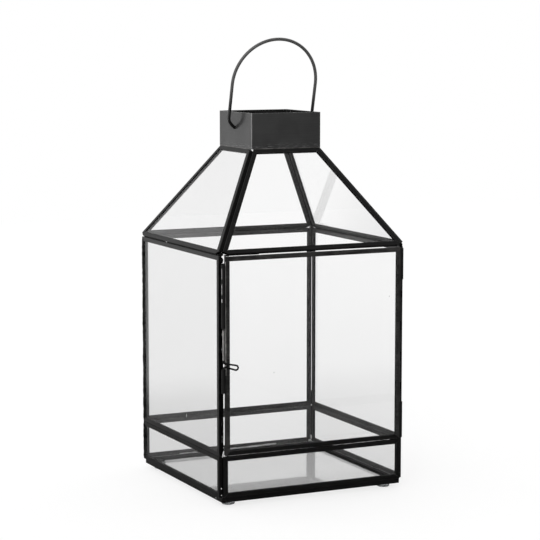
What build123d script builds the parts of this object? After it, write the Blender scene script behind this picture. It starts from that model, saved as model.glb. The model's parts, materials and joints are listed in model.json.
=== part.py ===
"""Candle lantern of glass panes edged in metal channel, with a door, a chimney collar and a bail handle.

Millimetres, +Z up. The origin is the centre of the plan on the surface that the feet stand on, and the door
faces -Y with its hinge on the +X side.
"""

import os
from math import cos, radians, sin, tan

from build123d import *

# Driving dimensions of the panels
BODY_WIDTH = 200.0  # outer faces of the side panels, square in plan
CAME_DEPTH = 3.5  # thickness of an edged panel
CAME_FACE = 4.4  # width of the channel seen from the front
CAME_SHEET = 0.6  # wall of the channel
FOLD_RADIUS = 0.6  # outside radius of the channel's folds
PANE = 2.0  # glass thickness
PANE_EDGE_GAP = 0.4  # between the pane's edge and the channel's web
MITRE_KERF = 0.2  # between the mitred ends of two strips
MITRE_REACH = 3 * CAME_FACE  # longer than the longest mitre

# Driving dimensions of the body
BOTTOM_INSET = 2.7  # bottom frame set in from the outer faces
BOTTOM_DEPTH = 5.4  # the bottom frame is of a deeper channel
BASE_HEIGHT = 40.0
BODY_HEIGHT = 193.7
ROOF_PITCH = 56.2  # degrees
EAVE_INSET = 1.6  # roof's inner lower edge set in from the outer faces
CORNER_SNIP = 3.5  # cut off the foot of each hip, square to it
FOOT_DIAMETER = 12.6
FOOT_STANDOFF = 4.2  # clear height under the bottom frame
FOOT_ROUNDING = 1.0
FOOT_INSET = 14.5  # foot's centre in from the outer faces

# Driving dimensions of the collar and its handle
COLLAR_WIDTH = 76.2
COLLAR_HEIGHT = 35.0
COLLAR_SHEET = 0.8
COLLAR_CORNER = 1.2
COLLAR_LAP = 9.0  # seam lap inside the back right corner
COLLAR_SEAT = 0.3  # roof's top edge stands this far outside the collar
BAIL_WIRE = 3.2
BAIL_STANDOFF = 7.8  # leg's centre line outside the collar's wall
BAIL_STUB = 1.0  # collar's wall to the corner where the wire turns up
BAIL_BEND = 2.0  # centre line radius of that corner
BAIL_FLARE = 6.4  # height in which the leg's foot slants in to the collar
BAIL_SWEEP = 8.5  # centre line radius where the slant meets the leg
BAIL_HEIGHT = 89.9  # pivot to the arch's centre line
BAIL_TAIL = 7.0  # wire end inside the collar's wall
BAIL_DROP = 15.4  # pivot below the collar's top
BAIL_LEAN = 14.0  # degrees towards the door at rest
BAIL_PLAY = 0.08  # radial clearance in the collar's holes

# Driving dimensions of the door, its hinge and its latch
DOOR_GAP_TOP = 0.9
DOOR_GAP_BOTTOM = 0.8
DOOR_GAP_LATCH = 2.2
DOOR_GAP_HINGE = 0.6
FINE_WIRE = 1.7
BARREL_PLAY = 0.06  # radial clearance of the wire in a barrel
HINGE_SEAT = 0.4  # solder between the hinge barrels and the right panel's edge
HINGE_CLEARANCE = 0.5  # between the hinge barrels and the door's edge
HINGE_BARREL_DIAMETER = 3.0
HINGE_BARREL_UPPER = 31.0
HINGE_BARREL_LOWER = 36.0
HINGE_BARREL_INSET = 2.0  # barrel's far end from the end of the body panel
ROD_REACH = 1.0  # rod's end past a hinge barrel
LATCH_CLEARANCE = 0.5  # between the latch barrels and the door's edge
LOOP_CLEARANCE = 0.4  # between the loop and the corner of the door's stile
LATCH_BARREL_DIAMETER = 4.2
LATCH_BARREL_UPPER = 61.0
LATCH_BARREL_LOWER = 23.0
LATCH_BARREL_INSET = 8.0  # upper barrel's top below the top of the body
LATCH_BARE_WIRE = 32.0  # between the upper barrel and the loop
LATCH_GAP = 1.2  # between the loop's lower bend and the lower barrel
LATCH_BEND = 1.7
LATCH_LOOP_REACH = 14.2
LATCH_LOOP_OPENING = 2.9  # between the arms' centre lines at the axis
LATCH_LOOP_WIDTH = 5.0  # between the centre lines at the loop's round end
LATCH_LOOP_ROUND = 2.2  # centre line radius of the loop's round end
LATCH_LOOP_DROOP = 2.6
LATCH_ANGLE = 12.0  # degrees that the loop stands out from the door's face

# Driving dimensions of the solder
SOLDER_LEG = 1.8
EAVE_LEG = 1.0  # the eaves' grooves are filled less
SOLDER_FIT = 0.03  # kept between a solder saddle and the round it holds
SADDLE_WIDTH = 2.2
SADDLE_LENGTH = 9.0
ROD_BEADS = 4
CORNER_FOOT_RUN = 17.0  # solder at the foot of the back right corner's groove
CORNER_HEAD_RUN = 27.0  # and at its head

# Levels and widths that follow
HALF = BODY_WIDTH / 2
INNER = HALF - CAME_DEPTH
BOTTOM_TOP = FOOT_STANDOFF + BOTTOM_DEPTH
BASE_TOP = BOTTOM_TOP + BASE_HEIGHT
BODY_TOP = BASE_TOP + BODY_HEIGHT
FLOOR_UNDERSIDE = FOOT_STANDOFF + (BOTTOM_DEPTH - PANE) / 2

ROOF_FOOT = HALF - EAVE_INSET
ROOF_OUT = CAME_DEPTH * sin(radians(ROOF_PITCH))
ROOF_UP = CAME_DEPTH * cos(radians(ROOF_PITCH))
ROOF_HEAD = COLLAR_WIDTH / 2 + COLLAR_SEAT - ROOF_OUT
ROOF_SLANT = (ROOF_FOOT - ROOF_HEAD) / cos(radians(ROOF_PITCH))
ROOF_TOP = BODY_TOP + (ROOF_FOOT - ROOF_HEAD) * tan(radians(ROOF_PITCH))
COLLAR_BOTTOM = ROOF_TOP + ROOF_UP
COLLAR_TOP = COLLAR_BOTTOM + COLLAR_HEIGHT
BAIL_PIVOT = COLLAR_TOP - BAIL_DROP

FINE_BORE = FINE_WIRE / 2 + BARREL_PLAY
HINGE_RADIUS = HINGE_BARREL_DIAMETER / 2
LATCH_RADIUS = LATCH_BARREL_DIAMETER / 2
DOOR_LEFT = -INNER + DOOR_GAP_LATCH
DOOR_RIGHT = INNER - DOOR_GAP_HINGE
DOOR_BOTTOM = BASE_TOP + DOOR_GAP_BOTTOM
DOOR_TOP = BODY_TOP - DOOR_GAP_TOP
HINGE_X = DOOR_RIGHT + HINGE_CLEARANCE + HINGE_RADIUS
HINGE_Y = -INNER - HINGE_SEAT - HINGE_RADIUS
HINGE_BOTTOM = BASE_TOP + HINGE_BARREL_INSET
HINGE_TOP = BODY_TOP - HINGE_BARREL_INSET
LATCH_X = DOOR_LEFT - LATCH_CLEARANCE - LATCH_RADIUS
LATCH_PASS = FINE_WIRE / 2 + LOOP_CLEARANCE  # arm's centre line from the corner of the stile
LATCH_ARM_OUT = (DOOR_LEFT - LATCH_X) * sin(radians(LATCH_ANGLE))
LATCH_Y = -HALF - (LATCH_PASS - LATCH_ARM_OUT) / cos(radians(LATCH_ANGLE))
LATCH_TOP = BODY_TOP - LATCH_BARREL_INSET
LATCH_UPPER_END = LATCH_TOP - LATCH_BARREL_UPPER
LATCH_UPPER_ARM = LATCH_UPPER_END - LATCH_BARE_WIRE - LATCH_BEND
LATCH_LOWER_ARM = LATCH_UPPER_ARM - LATCH_LOOP_OPENING
LATCH_LOWER_TOP = LATCH_LOWER_ARM - LATCH_BEND - LATCH_GAP
LATCH_BOTTOM = LATCH_LOWER_TOP - LATCH_BARREL_LOWER

# Quarter turns about Z that carry the front panel to each side
SIDES = {"front": 0, "right": 90, "back": 180, "left": 270}

os.makedirs("parts", exist_ok=True)


def save(shape, name):
    """Labels a finished piece and writes its file."""
    shape.label = name
    export_step(shape, f"parts/{name}.step")


def turned(x, y, z, side):
    """A vector of the front panel carried round to a side."""
    return Vector(x, y, z).rotate(Axis.Z, SIDES[side])


def wall_plane(side, level):
    """Inner face of an upright panel: X along it, Y up, Z outwards."""
    return Plane(turned(0, -INNER, level, side), turned(1, 0, 0, side), turned(0, -1, 0, side))


def roof_plane(side):
    """Inner face of a roof panel: X along the eave, Y up the slope, Z outwards."""
    outwards = turned(0, -sin(radians(ROOF_PITCH)), cos(radians(ROOF_PITCH)), side)
    return Plane(turned(0, -ROOF_FOOT, BODY_TOP, side), turned(1, 0, 0, side), outwards)


def rectangle(left, right, height):
    """Corners of an upright panel, anticlockwise from the lower left."""
    return [(left, 0), (right, 0), (right, height), (left, height)]


def bisector(corners, i):
    """Direction, in degrees, from a corner into the panel halfway between its two edges."""
    here = Vector(*corners[i])
    back = (Vector(*corners[i - 1]) - here).normalized()
    on = (Vector(*corners[(i + 1) % len(corners)]) - here).normalized()
    return Vector(1, 0, 0).get_signed_angle(back + on, Vector(0, 0, 1))


def came_frame(plane, corners, depth):
    """Four mitred strips of U-channel round a panel's outline, as separate solids."""
    with BuildPart() as frame:
        with BuildSketch(plane):
            Polygon(*corners, align=None)
        extrude(amount=depth)
        across = Axis(plane.origin, plane.z_dir)
        fillet(frame.edges().filter_by(across, reverse=True), FOLD_RADIUS)
        with BuildSketch(plane.offset(CAME_SHEET)):
            Polygon(*corners, align=None)
            offset(amount=-CAME_SHEET, kind=Kind.INTERSECTION, mode=Mode.REPLACE)
        extrude(amount=depth - 2 * CAME_SHEET, mode=Mode.SUBTRACT)
        with BuildSketch(plane):
            Polygon(*corners, align=None)
            offset(amount=-CAME_FACE, kind=Kind.INTERSECTION, mode=Mode.REPLACE)
        extrude(amount=depth, mode=Mode.SUBTRACT)
        with BuildSketch(plane):
            for i, corner in enumerate(corners):
                with Locations(corner):
                    Rectangle(
                        MITRE_REACH,
                        MITRE_KERF,
                        rotation=bisector(corners, i),
                        align=(Align.MIN, Align.CENTER),
                    )
        extrude(amount=depth, mode=Mode.SUBTRACT)
    return frame.part


def glass_pane(plane, corners, depth):
    """The pane that sits in a panel's channels."""
    with BuildPart() as pane:
        with BuildSketch(plane.offset((depth - PANE) / 2)):
            Polygon(*corners, align=None)
            offset(amount=-(CAME_SHEET + PANE_EDGE_GAP), kind=Kind.INTERSECTION, mode=Mode.REPLACE)
        extrude(amount=PANE)
    return pane.part


def save_panel(name, plane, corners, depth=CAME_DEPTH):
    """Writes the frame and the pane of one edged panel."""
    save(came_frame(plane, corners, depth), f"{name}_frame")
    save(glass_pane(plane, corners, depth), f"{name}_pane")


# Floor panel
FLOOR_HALF = HALF - BOTTOM_INSET
FLOOR_CORNERS = [
    (-FLOOR_HALF, -FLOOR_HALF),
    (FLOOR_HALF, -FLOOR_HALF),
    (FLOOR_HALF, FLOOR_HALF),
    (-FLOOR_HALF, FLOOR_HALF),
]
save_panel("bottom", Plane.XY.offset(FOOT_STANDOFF), FLOOR_CORNERS, BOTTOM_DEPTH)

# Base panels and the three fixed sides
for side in SIDES:
    save_panel(f"base_{side}", wall_plane(side, BOTTOM_TOP), rectangle(-INNER, INNER, BASE_HEIGHT))
    if side != "front":
        save_panel(side, wall_plane(side, BASE_TOP), rectangle(-INNER, INNER, BODY_HEIGHT))

# Door: the strips are separate pieces here
DOOR_PLANE = wall_plane("front", DOOR_BOTTOM)
DOOR_CORNERS = rectangle(DOOR_LEFT, DOOR_RIGHT, DOOR_TOP - DOOR_BOTTOM)
door_strips = came_frame(DOOR_PLANE, DOOR_CORNERS, CAME_DEPTH).solids()
save(door_strips.sort_by(Axis.Z)[0], "door_bottom_rail")
save(door_strips.sort_by(Axis.Z)[-1], "door_top_rail")
save(door_strips.sort_by(Axis.X)[0], "door_latch_stile")
save(door_strips.sort_by(Axis.X)[-1], "door_hinge_stile")
save(glass_pane(DOOR_PLANE, DOOR_CORNERS, CAME_DEPTH), "door_pane")


# Corners of the plan, where two panels meet edge to edge and leave a groove
CORNERS = {
    ("front", "left"): (-1, -1),
    ("front", "right"): (1, -1),
    ("back", "right"): (1, 1),
    ("back", "left"): (-1, 1),
}

# Hips of the roof
HIP_RUN = ROOF_FOOT - ROOF_HEAD
HIP_LENGTH = Vector(HIP_RUN, HIP_RUN, ROOF_TOP - BODY_TOP).length
SNIP_SIDE = 4 * (CORNER_SNIP + CAME_DEPTH)  # more than the cut's width


def hip_plane(x_sign, y_sign):
    """Square to a hip where its foot is cut off: Z runs up the hip."""
    foot = Vector(x_sign * ROOF_FOOT, y_sign * ROOF_FOOT, BODY_TOP)
    head = Vector(x_sign * ROOF_HEAD, y_sign * ROOF_HEAD, ROOF_TOP)
    up = (head - foot).normalized()
    return Plane(foot + up * CORNER_SNIP, z_dir=up)


def snipped(panel):
    """A roof panel's piece with its lower corners cut off square to the hips."""
    with BuildPart() as piece:
        add(panel)
        for signs in CORNERS.values():
            with BuildSketch(hip_plane(*signs)):
                Rectangle(SNIP_SIDE, SNIP_SIDE)
            extrude(amount=-SNIP_SIDE, mode=Mode.SUBTRACT)
    return piece.part


# Roof panels
SLOPE = [(-ROOF_FOOT, 0), (ROOF_FOOT, 0), (ROOF_HEAD, ROOF_SLANT), (-ROOF_HEAD, ROOF_SLANT)]
for side in SIDES:
    save(snipped(came_frame(roof_plane(side), SLOPE, CAME_DEPTH)), f"roof_{side}_frame")
    save(snipped(glass_pane(roof_plane(side), SLOPE, CAME_DEPTH)), f"roof_{side}_pane")

# Collar: folded strip with its lap inside the back right corner, and a hole in each side for the handle
COLLAR_INSIDE = COLLAR_WIDTH / 2 - COLLAR_SHEET
with BuildPart() as collar:
    with BuildSketch(Plane.XY.offset(COLLAR_BOTTOM)):
        RectangleRounded(COLLAR_WIDTH, COLLAR_WIDTH, COLLAR_CORNER)
        Rectangle(2 * COLLAR_INSIDE, 2 * COLLAR_INSIDE, mode=Mode.SUBTRACT)
        with Locations((COLLAR_INSIDE, COLLAR_INSIDE)):
            Rectangle(COLLAR_SHEET, COLLAR_LAP, align=(Align.MAX, Align.MAX))
    extrude(amount=COLLAR_HEIGHT)
    with BuildSketch(Plane.YZ):
        with Locations((0, BAIL_PIVOT)):
            Circle(BAIL_WIRE / 2 + BAIL_PLAY)
    extrude(amount=COLLAR_WIDTH, both=True, mode=Mode.SUBTRACT)
save(collar.part, "collar")

# Bail handle: a round arch on straight legs, whose feet slant in and pass through the collar's holes
BAIL_LEG = COLLAR_WIDTH / 2 + BAIL_STANDOFF
BAIL_CORNER = COLLAR_WIDTH / 2 + BAIL_STUB
BAIL_SPRING = BAIL_HEIGHT - BAIL_LEG  # where the legs end and the arch begins
BAIL_PLANE = Plane(
    (0, 0, BAIL_PIVOT),
    (1, 0, 0),
    (0, -cos(radians(BAIL_LEAN)), -sin(radians(BAIL_LEAN))),
)
with BuildPart() as bail:
    with BuildLine(BAIL_PLANE):
        FilletPolyline(
            (BAIL_TAIL - COLLAR_INSIDE, 0),
            (-BAIL_CORNER, 0),
            (-BAIL_LEG, BAIL_FLARE),
            (-BAIL_LEG, BAIL_SPRING),
            radius=[BAIL_BEND, BAIL_SWEEP],
        )
        JernArc((-BAIL_LEG, BAIL_SPRING), (0, 1), BAIL_LEG, -180)
        FilletPolyline(
            (BAIL_LEG, BAIL_SPRING),
            (BAIL_LEG, BAIL_FLARE),
            (BAIL_CORNER, 0),
            (COLLAR_INSIDE - BAIL_TAIL, 0),
            radius=[BAIL_SWEEP, BAIL_BEND],
        )
    with BuildSketch(Plane((BAIL_TAIL - COLLAR_INSIDE, 0, BAIL_PIVOT), z_dir=(-1, 0, 0))):
        Circle(BAIL_WIRE / 2)
    sweep()
save(bail.part, "bail_handle")


def barrel(x, y, bottom, length, radius):
    """A tube that carries a wire."""
    with BuildPart() as tube:
        with BuildSketch(Plane((x, y, bottom))):
            Circle(radius)
            Circle(FINE_BORE, mode=Mode.SUBTRACT)
        extrude(amount=length)
    return tube.part


def saddle_row(low_x, high_x, low_y, high_y, bottoms, centre, radius):
    """Solder blocks of one length that bridge a panel's edge to a round."""
    with BuildPart() as row:
        for bottom in bottoms:
            with BuildSketch(Plane.XY.offset(bottom)):
                with Locations(((low_x + high_x) / 2, (low_y + high_y) / 2)):
                    Rectangle(high_x - low_x, high_y - low_y)
                with Locations(centre):
                    Circle(radius + SOLDER_FIT, mode=Mode.SUBTRACT)
            extrude(amount=SADDLE_LENGTH)
    return row.part


def saddle_ends(bottom, length):
    """Where a barrel's two solder saddles start: one at each end."""
    return [bottom, bottom + length - SADDLE_LENGTH]


# Hinge: two barrels soldered to the right panel's edge, and a rod soldered to the door's edge
HINGE_UPPER_START = HINGE_TOP - HINGE_BARREL_UPPER
HINGE_LOWER_END = HINGE_BOTTOM + HINGE_BARREL_LOWER
HINGE_TUBES = {
    "hinge_upper_barrel": (HINGE_UPPER_START, HINGE_BARREL_UPPER),
    "hinge_lower_barrel": (HINGE_BOTTOM, HINGE_BARREL_LOWER),
}
for name, (bottom, length) in HINGE_TUBES.items():
    save(barrel(HINGE_X, HINGE_Y, bottom, length, HINGE_RADIUS), name)
save(
    saddle_row(
        HINGE_X - SADDLE_WIDTH / 2,
        HINGE_X + SADDLE_WIDTH / 2,
        HINGE_Y,
        -INNER,
        saddle_ends(HINGE_BOTTOM, HINGE_BARREL_LOWER) + saddle_ends(HINGE_UPPER_START, HINGE_BARREL_UPPER),
        (HINGE_X, HINGE_Y),
        HINGE_RADIUS,
    ),
    "hinge_barrel_solder",
)

with BuildPart() as rod:
    with BuildSketch(Plane((HINGE_X, HINGE_Y, HINGE_BOTTOM - ROD_REACH))):
        Circle(FINE_WIRE / 2)
    extrude(amount=HINGE_TOP - HINGE_BOTTOM + 2 * ROD_REACH)
save(rod.part, "hinge_rod")

BEAD_SPAN = HINGE_UPPER_START - HINGE_LOWER_END
BEAD_PITCH = BEAD_SPAN / ROD_BEADS
save(
    saddle_row(
        DOOR_RIGHT,
        HINGE_X,
        HINGE_Y - SADDLE_WIDTH / 2,
        HINGE_Y + SADDLE_WIDTH / 2,
        [HINGE_LOWER_END + (i + 0.5) * BEAD_PITCH - SADDLE_LENGTH / 2 for i in range(ROD_BEADS)],
        (HINGE_X, HINGE_Y),
        FINE_WIRE / 2,
    ),
    "hinge_rod_solder",
)

# Latch: two barrels soldered to the left panel's edge carry one bent wire with a hairpin loop
LATCH_TUBES = {
    "latch_upper_barrel": (LATCH_UPPER_END, LATCH_BARREL_UPPER),
    "latch_lower_barrel": (LATCH_BOTTOM, LATCH_BARREL_LOWER),
}
for name, (bottom, length) in LATCH_TUBES.items():
    save(barrel(LATCH_X, LATCH_Y, bottom, length, LATCH_RADIUS), name)
save(
    saddle_row(
        LATCH_X - SADDLE_WIDTH / 2,
        LATCH_X + SADDLE_WIDTH / 2,
        LATCH_Y,
        -INNER,
        saddle_ends(LATCH_BOTTOM, LATCH_BARREL_LOWER) + saddle_ends(LATCH_UPPER_END, LATCH_BARREL_UPPER),
        (LATCH_X, LATCH_Y),
        LATCH_RADIUS,
    ),
    "latch_solder",
)

LOOP_OUT = Vector(cos(radians(LATCH_ANGLE)), -sin(radians(LATCH_ANGLE)), 0)
LOOP_PLANE = Plane((LATCH_X, LATCH_Y, 0), LOOP_OUT, LOOP_OUT.cross(Vector(0, 0, 1)))
LOOP_TIP_TOP = LATCH_UPPER_ARM - LATCH_LOOP_DROOP
LOOP_RADII = [LATCH_BEND, LATCH_LOOP_ROUND, LATCH_LOOP_ROUND, LATCH_BEND]
with BuildPart() as latch_wire:
    with BuildLine(LOOP_PLANE):
        FilletPolyline(
            (0, LATCH_TOP),
            (0, LATCH_UPPER_ARM),
            (LATCH_LOOP_REACH, LOOP_TIP_TOP),
            (LATCH_LOOP_REACH, LOOP_TIP_TOP - LATCH_LOOP_WIDTH),
            (0, LATCH_LOWER_ARM),
            (0, LATCH_BOTTOM),
            radius=LOOP_RADII,
        )
    with BuildSketch(Plane((LATCH_X, LATCH_Y, LATCH_TOP), z_dir=(0, 0, -1))):
        Circle(FINE_WIRE / 2)
    sweep()
save(latch_wire.part, "latch_wire")


def groove_bead(plane, first, second, length, leg=SOLDER_LEG):
    """Solder in a groove: a three-cornered rod whose two legs lie on the two edges that it joins."""
    corners = [plane.to_local_coords(Vector(*plane.origin) + way * leg) for way in (first, second)]
    with BuildPart() as bead:
        with BuildSketch(plane):
            Polygon((0, 0), *[(point.X, point.Y) for point in corners], align=None)
        extrude(amount=length)
    return bead.part


def save_group(pieces, name):
    """Writes several like pieces as one node of separate solids."""
    save(Compound(children=pieces), name)


# Solder in the upright grooves: along the base, up the back left corner and at the back right one's ends
BODY_RUNS = {
    ("back", "left"): [(BASE_TOP, BODY_HEIGHT)],
    ("back", "right"): [(BASE_TOP, CORNER_FOOT_RUN), (BODY_TOP - CORNER_HEAD_RUN, CORNER_HEAD_RUN)],
}
corner_beads = []
for pair, (x_sign, y_sign) in CORNERS.items():
    legs = [turned(0, -1, 0, side) for side in pair]
    for level, length in [(BOTTOM_TOP, BASE_HEIGHT)] + BODY_RUNS.get(pair, []):
        foot = Plane((x_sign * INNER, y_sign * INNER, level))
        corner_beads.append(groove_bead(foot, *legs, length))
save_group(corner_beads, "corner_solder")

# Solder in the grooves of the hips
hip_beads = []
for pair, signs in CORNERS.items():
    legs = [roof_plane(side).z_dir for side in pair]
    hip_beads.append(groove_bead(hip_plane(*signs), *legs, HIP_LENGTH - CORNER_SNIP))
save_group(hip_beads, "hip_solder")

# Solder in the grooves between the roof's lower edges and the three fixed sides
EAVE_HALF = ROOF_FOOT - CORNER_SNIP * HIP_LENGTH / HIP_RUN  # half the eave that the cut corners leave
eave_beads = []
for side in ("right", "back", "left"):
    eave = Plane(turned(-EAVE_HALF, -ROOF_FOOT, BODY_TOP, side), z_dir=turned(1, 0, 0, side))
    legs = [turned(0, -1, 0, side), roof_plane(side).z_dir]
    eave_beads.append(groove_bead(eave, *legs, 2 * EAVE_HALF, EAVE_LEG))
save_group(eave_beads, "eave_solder")

# Solder between the collar's rim and the roof's upper edges
rim_beads = []
for side in SIDES:
    seat = turned(-ROOF_HEAD, -ROOF_HEAD - ROOF_OUT, COLLAR_BOTTOM, side)
    rim = Plane(seat, z_dir=turned(1, 0, 0, side))
    rim_beads.append(groove_bead(rim, turned(0, 1, 0, side), -roof_plane(side).z_dir, 2 * ROOF_HEAD))
save_group(rim_beads, "collar_solder")

# Feet: clear bumpers stuck to the floor pane's underside
for across, x_sign in (("left", -1), ("right", 1)):
    for along, y_sign in (("front", -1), ("back", 1)):
        with BuildPart() as foot:
            with BuildSketch(Plane.XY.offset(FLOOR_UNDERSIDE)):
                with Locations((x_sign * (HALF - FOOT_INSET), y_sign * (HALF - FOOT_INSET))):
                    Circle(FOOT_DIAMETER / 2)
            extrude(amount=-FLOOR_UNDERSIDE)
            fillet(foot.edges().sort_by(Axis.Z)[0], FOOT_ROUNDING)
        save(foot.part, f"foot_{along}_{across}")
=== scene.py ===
"""Looks of the candle lantern: clear panes in soldered black channel, a folded collar and wire handle.

Metres, in the CAD model's frame: +Z up, the door faces -Y, its hinge is on the +X side. The solder's places
and sizes are written in millimetres, and finish_mesh turns them into metres.
"""

import json
import math

import bmesh
import bpy
from mathutils import Matrix, Vector, noise


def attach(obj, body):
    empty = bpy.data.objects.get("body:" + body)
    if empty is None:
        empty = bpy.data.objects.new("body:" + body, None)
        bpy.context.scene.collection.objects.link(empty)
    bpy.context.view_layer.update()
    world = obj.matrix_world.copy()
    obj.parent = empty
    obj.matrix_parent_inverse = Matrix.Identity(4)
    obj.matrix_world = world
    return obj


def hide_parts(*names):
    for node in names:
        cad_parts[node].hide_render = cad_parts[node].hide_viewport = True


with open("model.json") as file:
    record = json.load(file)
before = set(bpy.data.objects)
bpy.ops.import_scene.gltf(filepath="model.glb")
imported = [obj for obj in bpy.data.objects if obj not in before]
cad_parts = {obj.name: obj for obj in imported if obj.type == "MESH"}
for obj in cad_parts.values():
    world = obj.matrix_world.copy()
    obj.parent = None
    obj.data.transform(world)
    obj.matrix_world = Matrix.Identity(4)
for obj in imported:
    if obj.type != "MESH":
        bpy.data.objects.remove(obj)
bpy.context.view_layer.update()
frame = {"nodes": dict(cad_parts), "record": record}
NODES = frame["nodes"]
SCENE = bpy.context.scene

MM = 0.001

# The part's own levels and half widths, in millimetres
INNER = 96.5
BOTTOM_TOP = 9.6
BASE_TOP = 49.6
BODY_TOP = 243.3
ROOF_FOOT = 98.4
ROOF_HEAD = 35.492
ROOF_TOP = 337.272
CORNER_SNIP = 3.5
EAVE_HALF = 91.2
COLLAR_BOTTOM = 339.219
COLLAR_HALF = 38.1

# Camera found from the photo's panel corners; the focal length is in pixels of a 540 pixel frame
IMAGE = 540
SENSOR = 36.0
FOCAL = 1955.04
CAMERA_PLACE = (-0.850528, -1.771668, 0.458671)
CAMERA_YAW = 25.657
CAMERA_PITCH = 7.105
CLIP_END = 50.0


# Node helpers


def fill(tree, node, inputs):
    """Sets or links a node's inputs."""
    for key, value in inputs.items():
        if isinstance(value, bpy.types.NodeSocket):
            tree.links.new(value, node.inputs[key])
        else:
            node.inputs[key].default_value = value


def add(tree, kind, inputs=None, **settings):
    """A new node with its settings made and its inputs filled."""
    node = tree.nodes.new(kind)
    for key, value in settings.items():
        setattr(node, key, value)
    fill(tree, node, inputs or {})
    return node


def math_node(tree, operation, *values):
    """The result of one operation on up to three values."""
    return add(tree, "ShaderNodeMath", dict(enumerate(values)), operation=operation).outputs[0]


def dot_product(tree, first, second):
    """The dot product of two vectors."""
    node = add(tree, "ShaderNodeVectorMath", {0: first, 1: second}, operation="DOT_PRODUCT")
    return node.outputs["Value"]


def axes(tree, vector):
    """A vector's X, Y and Z."""
    return add(tree, "ShaderNodeSeparateXYZ", {0: vector}).outputs


def remap(tree, value, low, high, to_low=0.0, to_high=1.0, smooth=True):
    """A value carried from one range to another and held at its ends."""
    node = add(
        tree,
        "ShaderNodeMapRange",
        {"Value": value, "From Min": low, "From Max": high, "To Min": to_low, "To Max": to_high},
        interpolation_type="SMOOTHSTEP" if smooth else "LINEAR",
    )
    return node.outputs[0]


def mix_value(tree, factor, first, second):
    """First value at 0, second at 1."""
    return add(tree, "ShaderNodeMix", {0: factor, 2: first, 3: second}).outputs[0]


def mix_colour(tree, factor, first, second):
    """First colour at 0, second at 1."""
    node = add(tree, "ShaderNodeMix", {0: factor, 6: first, 7: second}, data_type="RGBA")
    return node.outputs[2]


def grey(level, warm=0.0):
    """A linear grey, made a little warm by a share above 0."""
    return (level * (1 + warm), level, level * (1 - warm), 1.0)


def two_greys(tree, factor, levels, warm=0.0):
    """First grey at 0, second at 1."""
    return mix_colour(tree, factor, *[grey(level, warm) for level in levels])


def noise_value(tree, vector, scale, detail=2.0, roughness=0.5):
    """Plain noise of a given scale per metre."""
    inputs = {"Vector": vector, "Scale": scale, "Detail": detail, "Roughness": roughness}
    return add(tree, "ShaderNodeTexNoise", inputs).outputs[0]


def stretched_noise(tree, vector, scales, detail=2.0, roughness=0.5):
    """Noise with a scale per metre of its own along each axis."""
    scaled = add(tree, "ShaderNodeMapping", {"Vector": vector, "Scale": scales}).outputs[0]
    return noise_value(tree, scaled, 1.0, detail, roughness)


def bumped(tree, height, strength, distance, under=None):
    """A normal from a height, on top of another normal where one is given."""
    inputs = {"Height": height, "Strength": strength, "Distance": distance}
    if under:
        inputs["Normal"] = under
    return add(tree, "ShaderNodeBump", inputs).outputs[0]


def empty_tree(owner):
    """The cleared node tree of a material or a world."""
    owner.use_nodes = True
    owner.node_tree.nodes.clear()
    return owner.node_tree


def new_material(name):
    """A material with a Principled shader, its tree and its coordinates."""
    material = bpy.data.materials.new(name)
    tree = empty_tree(material)
    shader = add(tree, "ShaderNodeBsdfPrincipled")
    add(tree, "ShaderNodeOutputMaterial", {"Surface": shader.outputs[0]})
    coords = add(tree, "ShaderNodeTexCoord")
    return material, tree, shader, coords


def set_shader(tree, shader, **inputs):
    """Fills the shader's sockets, given with underscores for spaces."""
    fill(tree, shader, {key.replace("_", " "): value for key, value in inputs.items()})


# Masks and streaks

NOISE_SPAN = (0.3, 0.7)  # range that most noise values fall in
EDGE_RADIUS = 0.6 * MM  # reach of the wear round a sharp edge
EDGE_COSINES = (0.985, 0.8)  # between a flat face and a sharp edge
INWARD_COSINES = (-0.15, -0.45)  # between a side face and one that looks inwards
FOLD_TILT = (0.12, 0.5)  # smaller part of the normal, between a flat side and a fold
RAIL_OFFSET = (5.5 * MM, 7.5 * MM)  # off the plan's diagonals, between uprights or hips and level rails


def edge_mask(tree):
    """Near 1 on sharp edges and tight folds."""
    soft = add(tree, "ShaderNodeBevel", {"Radius": EDGE_RADIUS}, samples=4)
    plain = add(tree, "ShaderNodeNewGeometry")
    turn = dot_product(tree, soft.outputs[0], plain.outputs["True Normal"])
    return remap(tree, turn, *EDGE_COSINES)


def inward_mask(tree, coords):
    """1 on faces that look towards the lantern's middle."""
    level = (1.0, 1.0, 0.0)
    place = add(
        tree, "ShaderNodeVectorMath", {0: coords.outputs["Object"], 1: level}, operation="MULTIPLY"
    )
    away = add(tree, "ShaderNodeVectorMath", {0: place.outputs[0]}, operation="NORMALIZE")
    turn = dot_product(tree, away.outputs[0], coords.outputs["Normal"])
    return remap(tree, turn, *INWARD_COSINES)


def fold_mask(tree, coords):
    """1 on the rounded upright folds of the collar, where the normal points between two sides."""
    normal = axes(tree, coords.outputs["Normal"])
    parts = [math_node(tree, "ABSOLUTE", normal[i]) for i in (0, 1)]
    return remap(tree, math_node(tree, "MINIMUM", *parts), *FOLD_TILT)


def along_strip(tree, place, fine, coarse):
    """Streaky noise that runs along upright strips, hips and level rails."""
    plan = axes(tree, place)
    parts = [math_node(tree, "ABSOLUTE", plan[i]) for i in (0, 1)]
    offset = math_node(tree, "ABSOLUTE", math_node(tree, "SUBTRACT", *parts))
    rail = remap(tree, offset, *RAIL_OFFSET)
    upright = stretched_noise(tree, place, (fine, fine, coarse), detail=3.0, roughness=0.6)
    level = stretched_noise(tree, place, (coarse, coarse, fine), detail=3.0, roughness=0.6)
    return mix_value(tree, rail, upright, level)


# Channel

# Grey of the rubbed folds: paint worn through, and a painted highlight on the folds
WORN_HIGHLIGHT_GREY = 0.12
CHIP_GREY = 0.40
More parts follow.
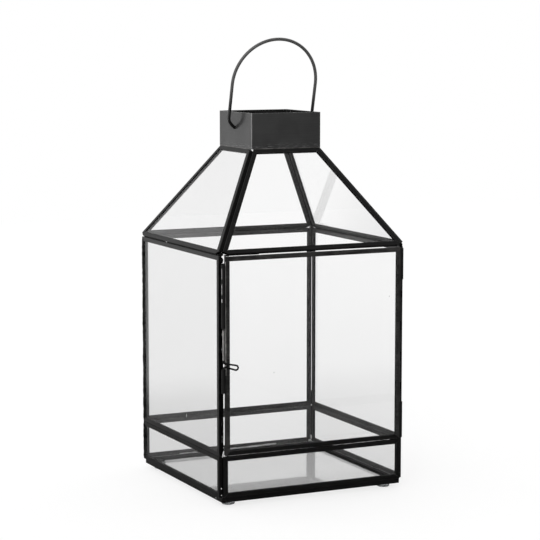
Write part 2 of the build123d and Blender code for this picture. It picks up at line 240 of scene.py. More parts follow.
# Noise levels between which each effect comes in
STREAK_SPAN = (0.38, 0.66)
SPECK_SPAN = (0.35, 0.65)
RUB_SPAN = (0.42, 0.66)
CHIP_SPAN = (0.79, 0.83)
CHIP_EDGES = (0.2, 0.7)  # of the edge mask, where chips begin
RUB_SHARES = (0.05, 0.6)
CAME_ROUGH = (0.34, 0.50)


def came_paint(tree, coords, streak, patch, outer_levels, inner_levels):
    """Streaky black, greyer and speckled on the faces that look inwards."""
    uneven = mix_value(tree, 0.6, patch, streak)
    outer = two_greys(tree, remap(tree, uneven, *STREAK_SPAN), outer_levels, warm=0.04)
    mottle = noise_value(tree, coords.outputs["Object"], scale=620.0, detail=3.0, roughness=0.7)
    speckled = mix_value(tree, 0.5, streak, mottle)
    inner = two_greys(tree, remap(tree, speckled, *SPECK_SPAN), inner_levels, warm=0.01)
    return mix_colour(tree, inward_mask(tree, coords), outer, inner)


def came_wear(tree, place, patch, paint):
    """The paint rubbed grey along the folds, which is wear and also a painted highlight on the folds, with
    a few chips.
    """
    edges = edge_mask(tree)
    # Grey along the folds: worn paint and a painted highlight
    rub = math_node(tree, "MULTIPLY", edges, remap(tree, patch, *RUB_SPAN, *RUB_SHARES))
    lit_and_worn = mix_colour(tree, rub, paint, grey(WORN_HIGHLIGHT_GREY, warm=0.02))
    chips = remap(tree, noise_value(tree, place, scale=420.0, detail=1.0), *CHIP_SPAN)
    chip = math_node(tree, "MULTIPLY", chips, remap(tree, edges, *CHIP_EDGES))
    return mix_colour(tree, chip, lit_and_worn, grey(CHIP_GREY))


def came_material(name, outer_levels, inner_levels, gloss):
    """Satin black paint over channel: streaky, rubbed grey along the folds as wear and painted highlight,
    greyer and brushed inside.
    """
    material, tree, shader, coords = new_material(name)
    place = coords.outputs["Object"]
    streak = along_strip(tree, place, fine=900.0, coarse=28.0)
    patch = noise_value(tree, place, scale=75.0, detail=3.0, roughness=0.55)
    grain = noise_value(tree, place, scale=1500.0)
    paint = came_paint(tree, coords, streak, patch, outer_levels, inner_levels)
    height = math_node(tree, "ADD", grain, math_node(tree, "MULTIPLY", streak, 1.5))
    set_shader(
        tree,
        shader,
        Base_Color=came_wear(tree, place, patch, paint),
        Roughness=remap(tree, streak, 0.25, 0.75, *CAME_ROUGH, smooth=False),
        Specular_IOR_Level=gloss,
        Normal=bumped(tree, height, strength=0.25, distance=0.12 * MM),
    )
    return material


# Collar

COLLAR_OUTER = (0.048, 0.066)
COLLAR_INNER = (0.010, 0.024)
SCRATCH_GREY = 0.20
SCRATCH_REACH = 7.0  # height of the scratched strip above the collar's foot
SCRATCH_SPAN = (0.54, 0.70)
# Pale grey at the collar's folds and rim: a painted highlight
FOLD_HIGHLIGHT_GREY = 0.30
FOLD_SPAN = (0.35, 0.65)
FOLD_SHARES = (0.6, 1.0)
COLLAR_ROUGH = (0.17, 0.23)
COLLAR_GLOSS = 0.225


def collar_paint(tree, coords, cloud, brushed):
    """Cloudy, faintly brushed black, darker inside."""
    shade = remap(tree, mix_value(tree, 0.3, cloud, brushed), *NOISE_SPAN)
    outer = two_greys(tree, shade, COLLAR_OUTER)
    inner = two_greys(tree, shade, COLLAR_INNER)
    return mix_colour(tree, inward_mask(tree, coords), outer, inner)


def collar_wear(tree, coords, cloud, paint):
    """The paint scratched along the foot, with a painted highlight of pale grey along the folds and rim."""
    place = coords.outputs["Object"]
    height = axes(tree, place)[2]
    low = remap(tree, height, (COLLAR_BOTTOM + SCRATCH_REACH) * MM, COLLAR_BOTTOM * MM)
    lines = stretched_noise(tree, place, (220.0, 220.0, 2400.0))
    scratch = math_node(tree, "MULTIPLY", remap(tree, lines, *SCRATCH_SPAN), low)
    scratched = mix_colour(tree, scratch, paint, grey(SCRATCH_GREY))
    # Painted highlight along the folds and rim
    rim = math_node(tree, "MAXIMUM", edge_mask(tree), fold_mask(tree, coords))
    rub = math_node(tree, "MULTIPLY", rim, remap(tree, cloud, *FOLD_SPAN, *FOLD_SHARES))
    return mix_colour(tree, rub, scratched, grey(FOLD_HIGHLIGHT_GREY))


def collar_material():
    """Satin black sheet, faintly brushed and dented, with a painted highlight along its folds and rim."""
    material, tree, shader, coords = new_material("collar_sheet")
    place = coords.outputs["Object"]
    cloud = noise_value(tree, place, scale=38.0)
    brushed = stretched_noise(tree, place, (40.0, 40.0, 1400.0), detail=3.0, roughness=0.6)
    paint = collar_paint(tree, coords, cloud, brushed)
    grain = math_node(tree, "ADD", noise_value(tree, place, scale=1800.0), brushed)
    fine = bumped(tree, grain, strength=0.05, distance=0.1 * MM)
    dents = noise_value(tree, place, scale=26.0, detail=1.0)
    set_shader(
        tree,
        shader,
        Base_Color=collar_wear(tree, coords, cloud, paint),
        Roughness=remap(tree, brushed, *NOISE_SPAN, *COLLAR_ROUGH, smooth=False),
        Specular_IOR_Level=COLLAR_GLOSS,
        Normal=bumped(tree, dents, strength=0.30, distance=1.6 * MM, under=fine),
    )
    return material


# Wire and solder

# Painted light and shade on the handle: black low down, grey high up
SHADE_TO_LIGHT_LEVELS = (362, 415)  # heights between which the handle's paint turns from black to grey
SHADE_TO_LIGHT_SPAN = (0.1, 0.9)
WIRE_RUB_GREY = 0.10
WIRE_RUB_SPAN = (0.78, 0.90)
WIRE_ROUGH = (0.30, 0.42)
BARE_GREY = 0.86
BARE_METAL = 0.8
BARE_EDGE = 0.05  # noise from where a bare spot begins to where it is full


def wire_material(name, levels, gloss):
    """Satin black wire, rubbed in places, greyer high up and blacker low down: painted light and shade
    along the handle.
    """
    material, tree, shader, coords = new_material(name)
    place = coords.outputs["Object"]
    cloud = noise_value(tree, place, scale=60.0)
    grain = noise_value(tree, place, scale=700.0, detail=1.0)
    # Painted light and shade: the handle is greyer high up and black low down by the collar
    painted_light = remap(tree, axes(tree, place)[2], *[level * MM for level in SHADE_TO_LIGHT_LEVELS])
    lit_and_worn = mix_value(tree, 0.25, painted_light, cloud)
    paint = two_greys(tree, remap(tree, lit_and_worn, *SHADE_TO_LIGHT_SPAN), levels, warm=0.01)
    rub = remap(tree, noise_value(tree, place, scale=260.0), *WIRE_RUB_SPAN)
    set_shader(
        tree,
        shader,
        Base_Color=mix_colour(tree, rub, paint, grey(WIRE_RUB_GREY)),
        Roughness=remap(tree, cloud, *NOISE_SPAN, *WIRE_ROUGH, smooth=False),
        Specular_IOR_Level=gloss,
        Normal=bumped(tree, grain, strength=0.06, distance=0.1 * MM),
    )
    return material


def solder_material(name, levels, spots, gloss, warm=0.03, rough=(0.36, 0.48)):
    """Lumpy solder under paint or flux, bare where a noise passes the level given as spots."""
    material, tree, shader, coords = new_material(name)
    place = coords.outputs["Object"]
    cloud = noise_value(tree, place, scale=150.0, detail=3.0, roughness=0.6)
    lumps = noise_value(tree, place, scale=520.0, detail=3.0, roughness=0.6)
    bare = remap(tree, noise_value(tree, place, scale=190.0), spots, spots + BARE_EDGE)
    paint = two_greys(tree, remap(tree, cloud, *NOISE_SPAN), levels, warm)
    set_shader(
        tree,
        shader,
        Base_Color=mix_colour(tree, bare, paint, grey(BARE_GREY, warm=0.01)),
        Roughness=remap(tree, cloud, *NOISE_SPAN, *rough, smooth=False),
        Metallic=math_node(tree, "MULTIPLY", bare, BARE_METAL),
        Specular_IOR_Level=gloss,
        Normal=bumped(tree, lumps, strength=0.5, distance=0.4 * MM),
    )
    return material


# Glass and bumpers

PANE_INDEX = 1.3  # below real glass, so that the panes mirror little
FLOOR_INDEX = 1.5
TINT_LEVELS = (BASE_TOP + 10, BODY_TOP)  # heights between which the tint goes from foot to head
TINT_UNEVEN = 0.05  # metres by which the tint's height varies
DUST_GREY = 0.5
DUST_SCALE = 95.0  # places for a speck per metre
DUST_SIZE = (0.07, 0.04)  # share of that spacing, at a speck's rim and core
DUST_EDGE = 0.03
DUST_CLEAR = 0.35  # how clear the glass is under a speck
BUMPER_COLOURS = ((0.62, 0.64, 0.66, 1), (0.80, 0.82, 0.83, 1))
BUMPER_INDEX = 1.45
BUMPER_CLEAR = 0.8
BUMPER_ROUGH = (0.18, 0.34)
FILM_SPAN = (0.4, 0.7)


def dust_mask(tree, place, rare):
    """1 on small specks; the nearer rare is to 1, the fewer there are."""
    specks = add(tree, "ShaderNodeTexVoronoi", {"Vector": place, "Scale": DUST_SCALE}, feature="F1")
    near = remap(tree, specks.outputs["Distance"], *DUST_SIZE)
    chance = add(tree, "ShaderNodeSeparateColor", {0: specks.outputs["Color"]}).outputs[0]
    return math_node(tree, "MULTIPLY", near, remap(tree, chance, rare, rare + DUST_EDGE))


def glass_material(name, foot, head, index=PANE_INDEX, film=0.0, rare=0.97):
    """Flat glass, greyer towards its foot, with dust specks, and a faint film where one is given."""
    material, tree, shader, coords = new_material(name)
    place = coords.outputs["Object"]
    cloud = noise_value(tree, place, scale=22.0)
    uneven = math_node(tree, "MULTIPLY_ADD", cloud, TINT_UNEVEN, axes(tree, place)[2])
    rise = remap(tree, uneven, *[level * MM for level in TINT_LEVELS], smooth=False)
    tint = two_greys(tree, rise, (foot, head))
    dust = dust_mask(tree, place, rare)
    rough = 0.0
    if film:
        smears = noise_value(tree, place, scale=700.0, detail=3.0)
        rough = remap(tree, smears, *FILM_SPAN, 0.0, film, smooth=False)
    set_shader(
        tree,
        shader,
        Base_Color=mix_colour(tree, dust, tint, grey(DUST_GREY, warm=0.03)),
        Roughness=rough,
        Transmission_Weight=remap(tree, dust, 0.0, 1.0, 1.0, DUST_CLEAR, smooth=False),
        IOR=index,
    )
    return material


def bumper_material():
    """Soft clear bumper, a little cloudy."""
    material, tree, shader, coords = new_material("bumper_clear")
    place = coords.outputs["Object"]
    cloud = noise_value(tree, place, scale=260.0)
    grain = noise_value(tree, place, scale=900.0)
    set_shader(
        tree,
        shader,
        Base_Color=mix_colour(tree, cloud, *BUMPER_COLOURS),
        Roughness=remap(tree, cloud, *NOISE_SPAN, *BUMPER_ROUGH, smooth=False),
        Transmission_Weight=BUMPER_CLEAR,
        IOR=BUMPER_INDEX,
        Normal=bumped(tree, grain, strength=0.15, distance=0.2 * MM),
    )
    return material


# Channel: greys outside, greys inside, gloss. Wire: greys low and high, gloss. Solder: greys, level above
# which it is bare, gloss. Glass: greys at its foot and head.
MATERIALS = {
    "came": came_material("came_paint", (0.002, 0.008), (0.022, 0.060), 0.22),
    # Lighter copies of the channel paint for the left side, the back, the tray's back and the door: painted
    # light on those sides
    "lit_left_came": came_material("lit_left_paint", (0.004, 0.012), (0.022, 0.060), 0.30),
    "lit_back_came": came_material("lit_back_paint", (0.003, 0.010), (0.055, 0.155), 0.30),
    "lit_tray_came": came_material("lit_tray_paint", (0.003, 0.010), (0.085, 0.220), 0.30),
    "lit_door_came": came_material("lit_door_paint", (0.008, 0.055), (0.016, 0.045), 0.34),
    "collar": collar_material(),
    "wire": wire_material("wire_paint", (0.004, 0.115), 0.5),
    "latch_wire": wire_material("latch_paint", (0.003, 0.009), 0.2),
    "solder": solder_material("solder_paint", (0.001, 0.004), 0.80, 0.06),
    "rim_solder": solder_material("rim_solder", (0.030, 0.130), 0.76, 0.5),
    # Very pale solder for bare spots and painted glints
    "bare": solder_material("solder_bare_and_glint", (0.78, 0.96), 0.90, 0.5, warm=0.0, rough=(0.16, 0.30)),
    # Pale paint for the painted highlights on the latch wire and the door's edge
    "painted_highlight": solder_material("painted_highlight_paint", (0.42, 0.64), 0.88, 0.3),
    "flux": solder_material("flux_stain", (0.020, 0.075), 0.86, 0.2, warm=0.40),
    "glass": glass_material("pane_glass", 0.927, 0.968),
    # Copies of the pane glass: darker on the left side, the roof's left side and the base, clearer on the
    # roof. This is painted shade and light on those panes
    "shaded_side_glass": glass_material("shaded_side_glass", 0.850, 0.875),
    "lit_roof_glass": glass_material("lit_roof_glass", 0.990, 0.999),
    "roof_shaded_side_glass": glass_material("roof_shaded_side_glass", 0.925, 0.932),
    "shaded_base_glass": glass_material("shaded_base_glass", 0.890, 0.910, rare=0.95),
    "floor_glass": glass_material("floor_glass", 0.90, 0.93, index=FLOOR_INDEX, film=0.06, rare=0.85),
    "bumper": bumper_material(),
}

# Nodes that don't take their slot's material: the latch wire's own paint, and lighter or darker copies of
# channel and glass that paint in light and shade on their sides
NODE_MATERIALS = {
    "left_pane": "shaded_side_glass",
    "roof_left_pane": "roof_shaded_side_glass",
    "roof_front_pane": "lit_roof_glass",
    "roof_right_pane": "lit_roof_glass",
    "roof_back_pane": "lit_roof_glass",
    "base_front_pane": "shaded_base_glass",
    "base_left_pane": "shaded_base_glass",
    "base_right_pane": "shaded_base_glass",
    "base_back_pane": "shaded_base_glass",
    "bottom_pane": "floor_glass",
    "latch_wire": "latch_wire",
    "left_frame": "lit_left_came",
    "back_frame": "lit_back_came",
    "right_frame": "lit_back_came",
    "base_back_frame": "lit_tray_came",
    "base_right_frame": "lit_back_came",
    "roof_back_frame": "lit_back_came",
    "roof_right_frame": "lit_back_came",
    "door_top_rail": "lit_door_came",
    "door_latch_stile": "lit_door_came",
    "door_hinge_stile": "lit_door_came",
}


def dress_nodes():
    """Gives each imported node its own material, or that of its slot."""
    for row in frame["record"]["subparts"]:
        name = NODE_MATERIALS.get(row["node"], row["material_slot"])
        for place in NODES[row["node"]].material_slots:
            place.material = MATERIALS[name]


# Mesh helpers, in millimetres

SEED_STEP = (7.3, 3.1, 5.7)  # how far one seed's noise lies from the next
BEAD_STEP = 1.1  # length of a bead between two rings
BEAD_LEAST_STEPS = 6
BEAD_SIDES = 10
BEAD_END = 0.25  # a bead's size at its very end
BEAD_TAPER = 2 / 3  # and how fast it grows, per radius along it
BEAD_PITCH = 3.5  # spacing of a bead's lumps
BEAD_WANDER, WANDER_PITCH = 0.18, 6
PIT_DEPTH, PIT_PITCH = 0.16, 1.6
DROP_LUMPS, DROP_PITCH = 0.35, 0.9
SWELL_SEED, WANDER_SEED, PIT_SEED = 9, 3, 5  # added to a bead's own seed
X, Y, Z = (1, 0, 0), (0, 1, 0), (0, 0, 1)
OFF_AXIS = (0.3, 1, 0.2)  # a direction that no thin run follows


def finish_mesh(name, mesh, body, slot_name, stands_for=(), finish=None):
    """Turns a bmesh in millimetres into a smooth piece that rides on a body."""
    bmesh.ops.scale(mesh, vec=(MM, MM, MM), verts=mesh.verts)
    bmesh.ops.recalc_face_normals(mesh, faces=mesh.faces)
    data = bpy.data.meshes.new(name)
    mesh.to_mesh(data)
    mesh.free()
    for face in data.polygons:
        face.use_smooth = True
    piece = bpy.data.objects.new(name, data)
    SCENE.collection.objects.link(piece)
    data.materials.append(MATERIALS[finish or slot_name])
    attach(piece, body)
    if stands_for:
        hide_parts(*stands_for)


def turned(vector, quarter):
    """A vector of the front side carried round by quarter turns."""
    return Matrix.Rotation(math.radians(90 * quarter), 3, "Z") @ Vector(vector)


def wobble(point, pitch, seed):
    """Smooth noise from -1 to 1 at a place, for a pitch in millimetres."""
    return noise.noise(Vector(point) / pitch + Vector([seed * step for step in SEED_STEP]))


def bead_ring(mesh, middle, first, second, radius, size, seed):
    """One pitted ring of a bead; radius is the whole bead's, size is the ring's."""
    ring = []
    for k in range(BEAD_SIDES):
        turn = 2 * math.pi * k / BEAD_SIDES
        out = first * math.cos(turn) + second * math.sin(turn)
        pit = 1 + PIT_DEPTH * wobble(middle + out * radius, PIT_PITCH, seed + PIT_SEED)
        ring.append(mesh.verts.new(middle + out * (size * pit)))
    return ring


def bead(mesh, start, end, first, second, radius, seed, uneven=0.3, flat=1.0):
    """A lumpy solder bead from start to end; first and second span its cross section."""
    start, end = Vector(start), Vector(end)
    first, second = Vector(first).normalized(), Vector(second).normalized() * flat
    length = (end - start).length
    steps = max(BEAD_LEAST_STEPS, int(length / BEAD_STEP))
    rings = []
    for i in range(steps + 1):
        share = i / steps
        middle = start.lerp(end, share)
        taper = min(1.0, BEAD_END + BEAD_TAPER * min(share, 1 - share) * length / radius)
        lumps = wobble(middle, BEAD_PITCH, seed)
        swells = wobble(middle, 4 * BEAD_PITCH, seed + SWELL_SEED)
        size = radius * (1 + uneven * (lumps + 0.5 * swells)) * taper
        middle = middle + first * (BEAD_WANDER * wobble(middle, WANDER_PITCH, seed + WANDER_SEED))
        rings.append(bead_ring(mesh, middle, first, second, radius, size, seed))
    for low, high in zip(rings, rings[1:]):
        for k in range(BEAD_SIDES):
            after = (k + 1) % BEAD_SIDES
            mesh.faces.new((low[k], low[after], high[after], high[k]))
    mesh.faces.new(list(reversed(rings[0])))
    mesh.faces.new(rings[-1])


def drop(mesh, place, radii, seed):
    """A lumpy drop of solder."""
    made = bmesh.ops.create_icosphere(mesh, subdivisions=2, radius=1.0)
    for vert in made["verts"]:
        swell = 1 + DROP_LUMPS * wobble(vert.co, DROP_PITCH, seed)
        vert.co = Vector(place) + Vector([c * r * swell for c, r in zip(vert.co, radii)])


def thin_runs(mesh, runs, seed):
    """Round beads along a list of runs."""
    for i, (start, end, radius) in enumerate(runs):
        along = Vector(end) - Vector(start)
        across = along.cross(Vector(OFF_AXIS))
        bead(mesh, start, end, across, along.cross(across), radius, seed + i, uneven=0.5)


# Solder that stands for the part's own, in millimetres

# Corners of the plan, as signs of X and Y, with the stretches of each that are filled above the base
FOOT_RUN = 17.0
HEAD_RUN = 27.0
CORNERS = {
    (-1, -1): [],
    (1, -1): [],
    (1, 1): [(BASE_TOP, BASE_TOP + FOOT_RUN), (BODY_TOP - HEAD_RUN, BODY_TOP)],
    (-1, 1): [(BASE_TOP, BODY_TOP)],
}
CORNER_PLACE = INNER + 0.9
CORNER_GAP = 0.5  # left free at each end of a filled stretch
CORNER_BEAD = 1.15
CORNER_SEED = 11

# Drop of solder under each tip of the roof: its radius and how far out it sits
TIP_DROP = (1.9, 97.2)
TIP_DROPS = {(-1, 1): (1.3, 96.2)}
TIP_LIFT = 0.7  # height above the body, per radius
TIP_SEED = 15

HIP_LIFT = 0.8  # out of the groove
HIP_BEAD = 1.0
HIP_SEED = 21

EAVE_OUT = ROOF_FOOT + 0.55
EAVE_LEVEL = BODY_TOP + 0.35
EAVE_BEAD = 0.6
EAVE_SEED = 31

COLLAR_REACH = ROOF_HEAD + 1.2
COLLAR_OUT = COLLAR_HALF - 0.3
COLLAR_LEVEL = COLLAR_BOTTOM - 0.15
COLLAR_BEAD = 0.9
COLLAR_SEED = 41


def corner_beads():
    """The filled upright grooves, with the solder that ties the roof's tips to the body."""
    mesh = bmesh.new()
    for i, ((x_sign, y_sign), runs) in enumerate(CORNERS.items()):
        x, y = x_sign * CORNER_PLACE, y_sign * CORNER_PLACE
        out, side = (x_sign, y_sign, 0), (-y_sign, x_sign, 0)
        for low, high in [(BOTTOM_TOP, BASE_TOP)] + runs:
            start, end = (x, y, low + CORNER_GAP), (x, y, high - CORNER_GAP)
            bead(mesh, start, end, out, side, CORNER_BEAD, CORNER_SEED + i)
        size, reach = TIP_DROPS.get((x_sign, y_sign), TIP_DROP)
        tip = (x_sign * reach, y_sign * reach, BODY_TOP + TIP_LIFT * size)
        drop(mesh, tip, (size, size, size), TIP_SEED + i)
    finish_mesh("corner_beads", mesh, "body", "solder", ["corner_solder"])


def hip_beads():
    """The filled grooves of the hips."""
    mesh = bmesh.new()
    for i, (x_sign, y_sign) in enumerate(CORNERS):
        foot = Vector((x_sign * ROOF_FOOT, y_sign * ROOF_FOOT, BODY_TOP))
        head = Vector((x_sign * ROOF_HEAD, y_sign * ROOF_HEAD, ROOF_TOP))
        along = (head - foot).normalized()
        side = Vector((x_sign, -y_sign, 0)).normalized()
        out = side.cross(along)
        if out.z < 0:
            out = -out
        start = foot + along * CORNER_SNIP + out * HIP_LIFT
        end = head - along + out * HIP_LIFT
        bead(mesh, start, end, out, side, HIP_BEAD, HIP_SEED + i)
    finish_mesh("hip_beads", mesh, "body", "solder", ["hip_solder"])


def eave_beads():
    """The solder deep in the grooves between the fixed sides and the roof."""
    mesh = bmesh.new()
    for i in (1, 2, 3):
        start = turned((-EAVE_HALF, -EAVE_OUT, EAVE_LEVEL), i)
        end = turned((EAVE_HALF, -EAVE_OUT, EAVE_LEVEL), i)
        bead(mesh, start, end, turned((0, -1, 0), i), Z, EAVE_BEAD, EAVE_SEED + i)
    finish_mesh("eave_beads", mesh, "body", "solder", ["eave_solder"])


def collar_beads():
    """The uneven line of solder round the collar's foot."""
    mesh = bmesh.new()
    for i in range(4):
        start = turned((-COLLAR_REACH, -COLLAR_OUT, COLLAR_LEVEL), i)
        end = turned((COLLAR_REACH, -COLLAR_OUT, COLLAR_LEVEL), i)
        bead(mesh, start, end, turned((0, -1, 0), i), Z, COLLAR_BEAD, COLLAR_SEED + i, uneven=0.45)
    finish_mesh("collar_beads", mesh, "body", "solder", ["collar_solder"], "rim_solder")


# Solder, stains, wear, and painted light and shade that the scene adds, in millimetres

# Dark solder beads in gaps and grooves, which also stand for painted shade there
# Ends, the two directions of the cross section, radius, seed and the second direction's share
SHADE_AND_SOLDER_BEADS = [
    # In the gap beside the door's free edge, with a thicker end under the roof: solder that also paints the
    # gap dark
    ((-95.9, -96.3, 52), (-95.9, -96.3, 208), X, Y, 0.72, 51, 1.0),
    ((-98.3, -96.5, 51), (-98.3, -96.5, 241), X, Y, 1.6, 58, 0.2),
    ((-97.1, -98.0, 236.2), (-97.1, -98.0, 241.8), X, Y, 1.45, 52, 1.0),
    # On the sill under the door, a dark line of painted shade in the gap
    ((-94, -98.6, BASE_TOP), (95, -98.6, BASE_TOP), Y, Z, 0.42, 62, 1.0),
    # Up the left side's back edge, a wide flat dark band that also paints in the corner's shade
    ((-99.8, 94.4, BOTTOM_TOP + 1), (-99.8, 94.4, BASE_TOP - 1), Y, X, 2.1, 55, 0.35),
    ((-99.8, 94.4, BASE_TOP + 1), (-99.8, 94.4, BODY_TOP - 1), Y, X, 2.1, 56, 0.35),
    # Between the left side and the tray, a dark line of painted shade in the groove
    ((-99.7, 95.5, BASE_TOP), (-99.7, -95.5, BASE_TOP), X, Z, 0.5, 57, 1.0),
    # Under the roof's front rail
    ((-95.5, -98.2, BODY_TOP), (-89.0, -98.2, BODY_TOP), Y, Z, 0.7, 53, 1.0),
    ((-90.0, -98.2, BODY_TOP), (-58.0, -98.2, BODY_TOP), Y, Z, 0.36, 54, 1.0),
]
# Drops near the roof's front left tip: centre, radii and seed
EDGE_DROPS = [
    ((-99.2, -95.6, BODY_TOP + 0.7), (1.3, 2.2, 1.1), 60),
    ((-96.9, -100.3, 235.5), (1.8, 1.5, 1.0), 49),
]
HEAD_DAB = ((95.2, 95.2, BODY_TOP + 0.3), (2.9, 2.9, 2.1), 59)

# Places where bare solder shows bright, painted up into glints: centre and radii
BARE_AND_GLINT_DROPS = [
    ((-99.9, 30.6, 244.3), (0.7, 1.1, 0.8)),
    ((-98.4, -98.4, 18.7), (0.6, 0.6, 0.8)),
    ((-98.4, -98.4, 12.3), (0.5, 0.5, 0.6)),
    ((-97.4, -83.0, 6.4), (0.3, 0.9, 0.5)),
    ((-95.5, -97.6, 61.5), (0.4, 0.4, 0.4)),
    ((-95.7, -97.6, 58.2), (0.4, 0.4, 0.5)),
    ((94.2, 95.7, 11.1), (1.9, 0.9, 1.0)),
    ((-93.5, 96.0, 10.7), (1.2, 0.6, 0.6)),
    ((-50.1, 96.1, 50.6), (0.6, 0.6, 1.6)),
]
BARE_DROP_SEED = 61
# Runs of bare metal and painted highlight, such as the line down the latch barrel's left side: ends and
# radius
BARE_AND_GLINT_RUNS = [
    ((-98.75, -101.6, 232.0), (-98.75, -101.6, 221.0), 0.20),
    ((-98.75, -101.6, 217.0), (-98.75, -101.6, 206.0), 0.22),
    ((-98.75, -101.6, 203.0), (-98.75, -101.6, 199.0), 0.30),
    ((-95.5, -97.6, 55.4), (-96.8, -98.3, 51.2), 0.75),
    ((95.9, 95.9, 17.2), (96.0, 95.9, 12.0), 0.80),
]
BARE_RUN_SEED = 71
# Pale licks of solder along the floor's back edge, tilted up to catch the light, that paint in bright
# lines: ends and width across
BARE_AND_LIGHT_LICKS = [
    ((-58.7, 95.9, 10.6), (-38.0, 95.9, 10.6), 0.7),
    ((-6.5, 95.9, 10.4), (54.0, 95.9, 11.1), 1.1),
]
LICK_ACROSS, LICK_OUT = (0, 0.87, 0.5), (0, -0.5, 0.87)
LICK_SEED = 81
# Painted highlights: bright lines along the latch wire above its loop
LATCH_HIGHLIGHTS = [
    ((-97.63, -101.07, 172.8), (-97.63, -101.07, 143.0), 0.36),
    ((-96.90, -101.50, 172.8), (-96.90, -101.50, 143.0), 0.24),
]
LATCH_HIGHLIGHT_SEED = 77
# Painted highlight: a lighter line along the fold at the door's free edge
DOOR_HIGHLIGHTS = [((-94.1, -99.95, 128.0), (-94.1, -99.95, 238.0), 0.26)]
DOOR_HIGHLIGHT_SEED = 81
# Flux stain along the floor frame's inner lips
FLUX_RUNS = [
    ((-92.6, 70.0, 9.6), (-92.6, -60.0, 9.6), 0.42),
    ((-88.0, -92.6, 9.6), (30.0, -92.6, 9.6), 0.42),
]
FLUX_SEED = 91


def shade_and_solder_beads():
    """Runs of dark solder along the door's opening, the left side's edges and under the roof's front rail,
    which also paint in shade where gaps and grooves show black.
    """
    mesh = bmesh.new()
    for start, end, first, second, radius, seed, flat in SHADE_AND_SOLDER_BEADS:
        bead(mesh, start, end, first, second, radius, seed, flat=flat)
    for place, radii, seed in EDGE_DROPS:
        drop(mesh, place, radii, seed)
    finish_mesh("shade_and_solder_beads", mesh, "body", "solder")


def head_dab():
    """The dab of solder inside the back right corner, under the roof."""
    mesh = bmesh.new()
    drop(mesh, *HEAD_DAB)
    finish_mesh("head_dab", mesh, "body", "solder", finish="rim_solder")


def latch_highlights():
    """Bright lines along the latch wire: painted highlights."""
    mesh = bmesh.new()
    thin_runs(mesh, LATCH_HIGHLIGHTS, LATCH_HIGHLIGHT_SEED)
    finish_mesh("latch_highlights", mesh, "latch", "wire", finish="painted_highlight")


def door_edge_highlight():
    """A painted highlight along the fold of the door's free edge."""
    mesh = bmesh.new()
    thin_runs(mesh, DOOR_HIGHLIGHTS, DOOR_HIGHLIGHT_SEED)
    finish_mesh("door_edge_highlight", mesh, "door", "came", finish="painted_highlight")


def bare_solder_and_glints():
    """Drops, runs and licks of pale solder: bare metal and painted glints."""
    mesh = bmesh.new()
    for i, (place, radii) in enumerate(BARE_AND_GLINT_DROPS):
        drop(mesh, place, radii, BARE_DROP_SEED + i)
    thin_runs(mesh, BARE_AND_GLINT_RUNS, BARE_RUN_SEED)
    for i, (start, end, radius) in enumerate(BARE_AND_LIGHT_LICKS):
        bead(mesh, start, end, LICK_ACROSS, LICK_OUT, radius, LICK_SEED + i, uneven=0.4, flat=0.4)
    finish_mesh("bare_solder_and_glints", mesh, "body", "solder", finish="bare")


def flux_stain():
    """Thin brown lines of flux where the floor frame meets the glass."""
    mesh = bmesh.new()
    for i, (start, end, radius) in enumerate(FLUX_RUNS):
        along = Vector(end) - Vector(start)
        bead(mesh, start, end, along.cross(Vector(Z)), Z, radius, FLUX_SEED + i, uneven=0.5)
    finish_mesh("flux_stain", mesh, "body", "solder", finish="flux")


# Stage

FLOOR_REACH = 2.6
FLOOR_LEVEL = -0.1 * MM  # just under the feet
PAPER_GREY = 0.3
FLOOR_GLOW = 0.755  # with the studio light it makes the paper white
MIRRORED_GLOW = 0.65  # the floor's glow in mirror images, where it is brightest
MIRRORED_LEFT = (-0.1, -0.9)  # X between which that glow rises
MIRRORED_BEHIND = (0.35, 0.6)  # and Y

# Studio light, by the X, Y and Z of the direction that it comes from
LEFT_RISE = (0.0, -0.75)
HIGH_RISE = (0.1, 0.8)
HIGH_BACK = (-0.6, 0.1)
BEHIND_RISE = (-0.1, 0.5)
LOW_RISE = (0.6, 0.1)
BEHIND_HIGH, BEHIND_LOW = 0.45, 1.0
STUDIO_LIGHT = 0.76
STUDIO_FILL = 0.24

# Softbox to the left of the camera: its direction, the cosines at its edge and its strength
BOX_WAY = (-0.45, -0.70, 0.55)
BOX_EDGE = (0.925, 0.975)
BOX_LIGHT = 2.4


def straight_view(tree):
    """1 for what the camera sees directly or straight through the glass."""
    path = add(tree, "ShaderNodeLightPath").outputs
    bounces = math_node(tree, "ADD", path["Glossy Depth"], path["Diffuse Depth"])
    unturned = math_node(tree, "LESS_THAN", bounces, 0.5)
    through = math_node(tree, "MULTIPLY", path["Is Transmission Ray"], unturned)
    return math_node(tree, "MAXIMUM", path["Is Camera Ray"], through)


def floor_material():
    """Pale paper that shows white, keeps the shadow and glows in mirror images at the left and behind."""
    material = bpy.data.materials.new("floor_paper")
    tree = empty_tree(material)
    paper = add(tree, "ShaderNodeBsdfDiffuse", {"Color": grey(PAPER_GREY)})
    place = axes(tree, add(tree, "ShaderNodeTexCoord").outputs["Object"])
    left = remap(tree, place[0], *MIRRORED_LEFT)
    behind = remap(tree, place[1], *MIRRORED_BEHIND)
    bright = math_node(tree, "MULTIPLY", math_node(tree, "MAXIMUM", left, behind), MIRRORED_GLOW)
    glossy = add(tree, "ShaderNodeLightPath").outputs["Is Glossy Ray"]
    mirrored = math_node(tree, "MULTIPLY", glossy, bright)
    direct = math_node(tree, "MULTIPLY", straight_view(tree), FLOOR_GLOW)
    strength = math_node(tree, "MAXIMUM", direct, mirrored)
    glow = add(tree, "ShaderNodeEmission", {"Color": grey(1.0), "Strength": strength})
    both = add(tree, "ShaderNodeAddShader", {0: paper.outputs[0], 1: glow.outputs[0]})
    add(tree, "ShaderNodeOutputMaterial", {"Surface": both.outputs[0]})
    return material


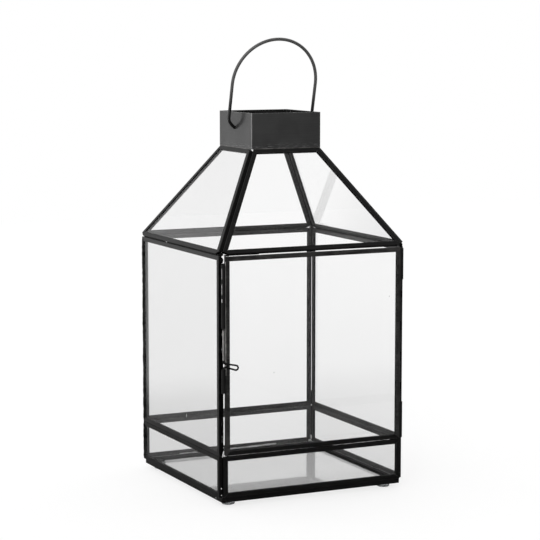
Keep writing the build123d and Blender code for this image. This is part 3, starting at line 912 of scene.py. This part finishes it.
def build_floor():
    """The floor that the lantern stands on."""
    mesh = bmesh.new()
    bmesh.ops.create_grid(mesh, x_segments=4, y_segments=4, size=FLOOR_REACH)
    data = bpy.data.meshes.new("floor")
    mesh.to_mesh(data)
    mesh.free()
    data.materials.append(floor_material())
    floor = bpy.data.objects.new("floor", data)
    floor.location.z = FLOOR_LEVEL
    SCENE.collection.objects.link(floor)


def build_world():
    """Soft studio light from the left, above and behind, with a softbox; the background shows white."""
    SCENE.world = bpy.data.worlds.new("studio")
    tree = empty_tree(SCENE.world)
    look = add(tree, "ShaderNodeTexCoord").outputs["Generated"]
    way = axes(tree, look)
    box = remap(tree, dot_product(tree, look, BOX_WAY), *BOX_EDGE, 0.0, BOX_LIGHT)
    left = remap(tree, way[0], *LEFT_RISE)
    high = remap(tree, way[2], *HIGH_RISE)
    above = math_node(tree, "MULTIPLY", high, remap(tree, way[1], *HIGH_BACK))
    low = remap(tree, way[2], *LOW_RISE, BEHIND_HIGH, BEHIND_LOW)
    behind = math_node(tree, "MULTIPLY", remap(tree, way[1], *BEHIND_RISE), low)
    most = math_node(tree, "MAXIMUM", math_node(tree, "MAXIMUM", left, above), behind)
    soft = math_node(tree, "MULTIPLY_ADD", most, STUDIO_LIGHT, STUDIO_FILL)
    light = math_node(tree, "ADD", soft, box)
    strength = mix_value(tree, straight_view(tree), light, 1.0)
    glow = add(tree, "ShaderNodeBackground", {"Color": grey(1.0), "Strength": strength})
    add(tree, "ShaderNodeOutputWorld", {"Surface": glow.outputs[0]})


def build_camera():
    """The photo's camera."""
    data = bpy.data.cameras.new("camera")
    data.sensor_fit = "HORIZONTAL"
    data.sensor_width = SENSOR
    data.lens = FOCAL / IMAGE * SENSOR
    data.clip_end = CLIP_END
    camera = bpy.data.objects.new("camera", data)
    camera.location = CAMERA_PLACE
    camera.rotation_euler = (math.radians(90 - CAMERA_PITCH), 0.0, math.radians(-CAMERA_YAW))
    SCENE.collection.objects.link(camera)
    SCENE.camera = camera


dress_nodes()
corner_beads()
hip_beads()
eave_beads()
collar_beads()
shade_and_solder_beads()
head_dab()
latch_highlights()
door_edge_highlight()
bare_solder_and_glints()
flux_stain()
build_floor()
build_world()
build_camera()
SCENE.view_settings.view_transform = "Standard"
